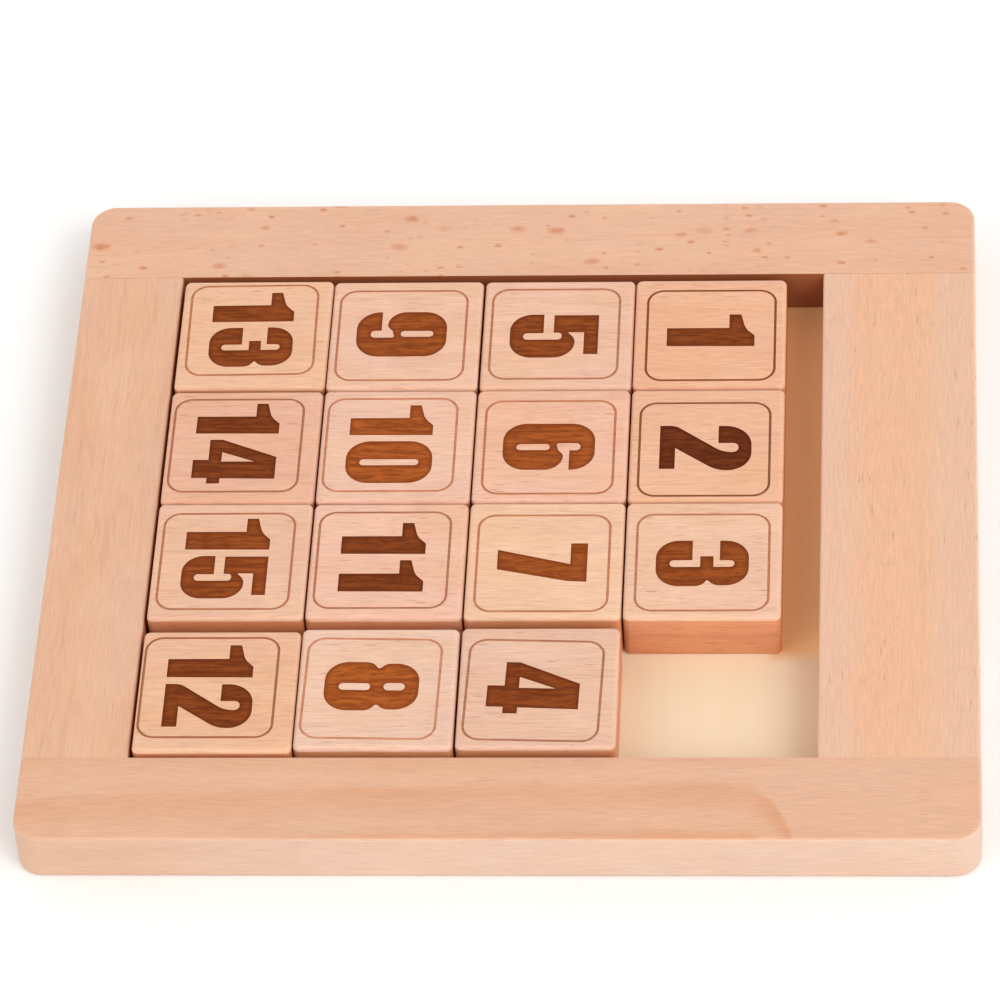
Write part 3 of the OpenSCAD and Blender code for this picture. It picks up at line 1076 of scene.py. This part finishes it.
# ---------------------------------------------------------------- dowels
def fluted_pair(node, material, flutes=16, groove=0.18 * MM, chamfer=0.5 * MM):
    """Two grooved glue pegs along X, where the CAD node's two dowels are."""
    low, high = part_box(node)
    radius = (high.z - low.z) / 2
    mid_z = (low.z + high.z) / 2
    around = flutes * 6
    vertices, faces = [], []
    levels = [(low.x, chamfer), (low.x + chamfer, 0), (high.x - chamfer, 0), (high.x, chamfer)]
    for mid_y in (low.y + radius, high.y - radius):
        first = len(vertices)
        for x, inset in levels:
            for k in range(around):
                a = 2 * pi * k / around
                dip = groove * max(0, cos(a * flutes)) ** 2
                r = radius - inset - dip
                vertices.append((x, mid_y + r * cos(a), mid_z + r * sin(a)))
        for level in range(len(levels) - 1):
            for k in range(around):
                j = (k + 1) % around
                a, b = first + level * around, first + (level + 1) * around
                faces.append((a + k, a + j, b + j, b + k))
        last = first + (len(levels) - 1) * around
        faces.append(tuple(first + k for k in range(around))[::-1])
        faces.append(tuple(last + k for k in range(around)))
    piece = make_object(f"{node}_fluted", vertices, faces, [0] * len(faces), [material])
    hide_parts(node)
    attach(piece, "root")


dowel_wood = beech("dowel_beech", (0.66, 0.42, 0.27), "X", seed=71, pores=0.3)
for dowels in DOWEL_NODES:
    fluted_pair(dowels, dowel_wood)

# ---------------------------------------------------------------- floor, light, camera
FLOOR_REACH = 6.0
FLOOR_DROP = 0.02 * MM
white = Paint("pale_floor")
spot = white.noise(white.node("TexCoord").outputs["Object"], (3.0, 3.0, 3.0), 2.0)
white.finish(white.mix(spot, grey(0.86), grey(0.88)), 0.9, spot, bump_mm=0.01, specular=0.0)
floor_corners = [(sx * FLOOR_REACH, sy * FLOOR_REACH, -FLOOR_DROP) for sx, sy in CORNER_SIGNS]
floor_object = make_object("floor", floor_corners, [(0, 1, 2, 3)], [0], [white.material])

# The sky is brightest at the horizon: its strength overhead, and how much it rises toward the horizon.
SKY_ZENITH = 0.30
SKY_RISE = 1.88
world = bpy.data.worlds.new("studio")
world.use_nodes = True
sky = world.node_tree
background = sky.nodes["Background"]
direction = sky.nodes.new("ShaderNodeTexCoord").outputs["Generated"]
height = sky.nodes.new("ShaderNodeSeparateXYZ")
sky.links.new(direction, height.inputs[0])
fade = sky.nodes.new("ShaderNodeMapRange")
fade.inputs["From Min"].default_value = 0
fade.inputs["From Max"].default_value = 1
fade.inputs["To Min"].default_value = SKY_ZENITH + SKY_RISE
fade.inputs["To Max"].default_value = SKY_ZENITH
sky.links.new(height.outputs[2], fade.inputs["Value"])
sky.links.new(fade.outputs[0], background.inputs["Strength"])
background.inputs["Color"].default_value = (1.0, 0.99, 0.975, 1)
bpy.context.scene.world = world


def area_light(name, place, watts):
    """A square soft light that looks at the origin."""
    data = bpy.data.lights.new(name, "AREA")
    data.shape = "SQUARE"
    data.size = 1.8
    data.energy = watts
    data.color = (1.0, 0.98, 0.95)
    lamp = bpy.data.objects.new(name, data)
    lamp.location = place
    lamp.rotation_euler = (-Vector(place)).to_track_quat("-Z", "Y").to_euler()
    lamp.visible_camera = False
    bpy.context.scene.collection.objects.link(lamp)


area_light("key", (1.4, 1.6, 2.0), 40)
area_light("fill", (1.4, -1.6, 2.0), 12)

CAMERA_AZIMUTH = 96.01
CAMERA_ELEVATION = 47.02
CAMERA_ROLL = -4.60
CAMERA_PLACE = (0.7609, 0.0776, 0.8336)
CAMERA_LENS = 211.1
azimuth, elevation = radians(CAMERA_AZIMUTH), radians(CAMERA_ELEVATION)
back = Vector((sin(azimuth) * cos(elevation), -cos(azimuth) * cos(elevation), sin(elevation)))
side = Vector((cos(azimuth), sin(azimuth), 0))
up = back.cross(side)
camera_data = bpy.data.cameras.new("camera")
camera_data.lens = CAMERA_LENS
camera_data.sensor_width = 36
camera_data.clip_start = 0.01
camera_data.clip_end = 50
camera = bpy.data.objects.new("camera", camera_data)
aim = Matrix((side, up, back)).transposed().to_4x4()
roll = Matrix.Rotation(radians(CAMERA_ROLL), 4, "Z")
camera.matrix_world = Matrix.Translation(CAMERA_PLACE) @ aim @ roll
bpy.context.scene.collection.objects.link(camera)
bpy.context.scene.camera = camera
bpy.context.scene.view_settings.view_transform = "Standard"
